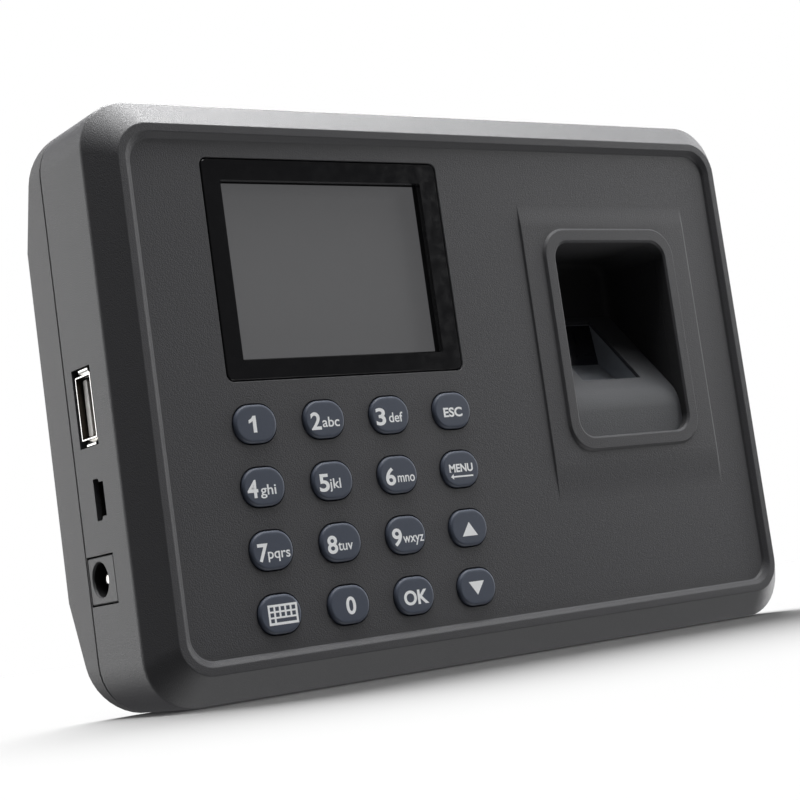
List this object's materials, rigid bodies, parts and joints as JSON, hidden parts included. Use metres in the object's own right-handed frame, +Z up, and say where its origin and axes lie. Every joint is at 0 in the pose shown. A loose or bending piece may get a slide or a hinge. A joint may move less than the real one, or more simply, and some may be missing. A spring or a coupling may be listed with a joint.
{
  "type": "fingerprint scanner terminal",
  "caption": "Two-shell terminal with a recessed panel, a screen, spring-back keys, a deep finger pocket with a sloping sensor, and side sockets.",
  "frame": {"origin": "centre of the case's footprint, on the surface that it stands on", "axes": "+X to the right of a person facing the screen, +Y from the front to the back, +Z up"},
  "size_m": [0.17, 0.0356, 0.1195],
  "materials": {
    "front_shell": "fine spark texture, charcoal",
    "rear_shell": "fine spark texture, charcoal",
    "key": "satin, blue-grey",
    "screen_window": "smoked, black-printed border",
    "lcd": "unlit grey display",
    "sensor_glass": "polished",
    "sensor_body": "moulded black",
    "metal": "bright nickel",
    "rubber": "matt",
    "board": "solder mask",
    "chip": "moulded epoxy",
    "ivory": "moulded nylon",
    "socket": "moulded nylon",
    "ribbon": "polyimide film"
  },
  "bodies": {
    "case": {"front_cover": "front_shell", "rear_cover": "rear_shell", "screen_window": "screen_window", "lcd_panel": "lcd", "lcd_frame": "metal", "lcd_ribbon": "ribbon", "keypad_sheet": "rubber", "finger_guide": "front_shell", "sensor_glass": "sensor_glass", "sensor_body": "sensor_body", "sensor_board": "board", "main_board": "board", "processor_chip": "chip", "memory_chip": "chip", "cell_holder": "chip", "clock_cell": "metal", "usb_a_shell": "metal", "usb_a_tongue": "ivory", "mini_usb_shell": "metal", "mini_usb_tongue": "chip", "dc_jack_body": "socket", "dc_jack_pin": "metal", "speaker_frame": "metal", "speaker_cone": "rubber", "case_screw_1": "metal", "case_screw_2": "metal", "case_screw_3": "metal", "case_screw_4": "metal", "board_screw_1": "metal", "board_screw_2": "metal", "board_screw_3": "metal", "board_screw_4": "metal"},
    "key_1": {"key_1": "key"},
    "key_2": {"key_2": "key"},
    "key_3": {"key_3": "key"},
    "key_escape": {"key_escape": "key"},
    "key_4": {"key_4": "key"},
    "key_5": {"key_5": "key"},
    "key_6": {"key_6": "key"},
    "key_menu": {"key_menu": "key"},
    "key_7": {"key_7": "key"},
    "key_8": {"key_8": "key"},
    "key_9": {"key_9": "key"},
    "key_up": {"key_up": "key"},
    "key_input": {"key_input": "key"},
    "key_0": {"key_0": "key"},
    "key_ok": {"key_ok": "key"},
    "key_down": {"key_down": "key"}
  },
  "joints": [
    {"name": "press_1", "type": "slide", "parent": "case", "child": "key_1", "axis": [0, 1, 0], "range_m": [0, 0.0007], "stiffness_N_per_m": 100, "springref_m": -0.003},
    {"name": "press_2", "type": "slide", "parent": "case", "child": "key_2", "axis": [0, 1, 0], "range_m": [0, 0.0007], "stiffness_N_per_m": 100, "springref_m": -0.003},
    {"name": "press_3", "type": "slide", "parent": "case", "child": "key_3", "axis": [0, 1, 0], "range_m": [0, 0.0007], "stiffness_N_per_m": 100, "springref_m": -0.003},
    {"name": "press_escape", "type": "slide", "parent": "case", "child": "key_escape", "axis": [0, 1, 0], "range_m": [0, 0.0007], "stiffness_N_per_m": 100, "springref_m": -0.003},
    {"name": "press_4", "type": "slide", "parent": "case", "child": "key_4", "axis": [0, 1, 0], "range_m": [0, 0.0007], "stiffness_N_per_m": 100, "springref_m": -0.003},
    {"name": "press_5", "type": "slide", "parent": "case", "child": "key_5", "axis": [0, 1, 0], "range_m": [0, 0.0007], "stiffness_N_per_m": 100, "springref_m": -0.003},
    {"name": "press_6", "type": "slide", "parent": "case", "child": "key_6", "axis": [0, 1, 0], "range_m": [0, 0.0007], "stiffness_N_per_m": 100, "springref_m": -0.003},
    {"name": "press_menu", "type": "slide", "parent": "case", "child": "key_menu", "axis": [0, 1, 0], "range_m": [0, 0.0007], "stiffness_N_per_m": 100, "springref_m": -0.003},
    {"name": "press_7", "type": "slide", "parent": "case", "child": "key_7", "axis": [0, 1, 0], "range_m": [0, 0.0007], "stiffness_N_per_m": 100, "springref_m": -0.003},
    {"name": "press_8", "type": "slide", "parent": "case", "child": "key_8", "axis": [0, 1, 0], "range_m": [0, 0.0007], "stiffness_N_per_m": 100, "springref_m": -0.003},
    {"name": "press_9", "type": "slide", "parent": "case", "child": "key_9", "axis": [0, 1, 0], "range_m": [0, 0.0007], "stiffness_N_per_m": 100, "springref_m": -0.003},
    {"name": "press_up", "type": "slide", "parent": "case", "child": "key_up", "axis": [0, 1, 0], "range_m": [0, 0.0007], "stiffness_N_per_m": 100, "springref_m": -0.003},
    {"name": "press_input", "type": "slide", "parent": "case", "child": "key_input", "axis": [0, 1, 0], "range_m": [0, 0.0007], "stiffness_N_per_m": 100, "springref_m": -0.003},
    {"name": "press_0", "type": "slide", "parent": "case", "child": "key_0", "axis": [0, 1, 0], "range_m": [0, 0.0007], "stiffness_N_per_m": 100, "springref_m": -0.003},
    {"name": "press_ok", "type": "slide", "parent": "case", "child": "key_ok", "axis": [0, 1, 0], "range_m": [0, 0.0007], "stiffness_N_per_m": 100, "springref_m": -0.003},
    {"name": "press_down", "type": "slide", "parent": "case", "child": "key_down", "axis": [0, 1, 0], "range_m": [0, 0.0007], "stiffness_N_per_m": 100, "springref_m": -0.003}
  ]
}
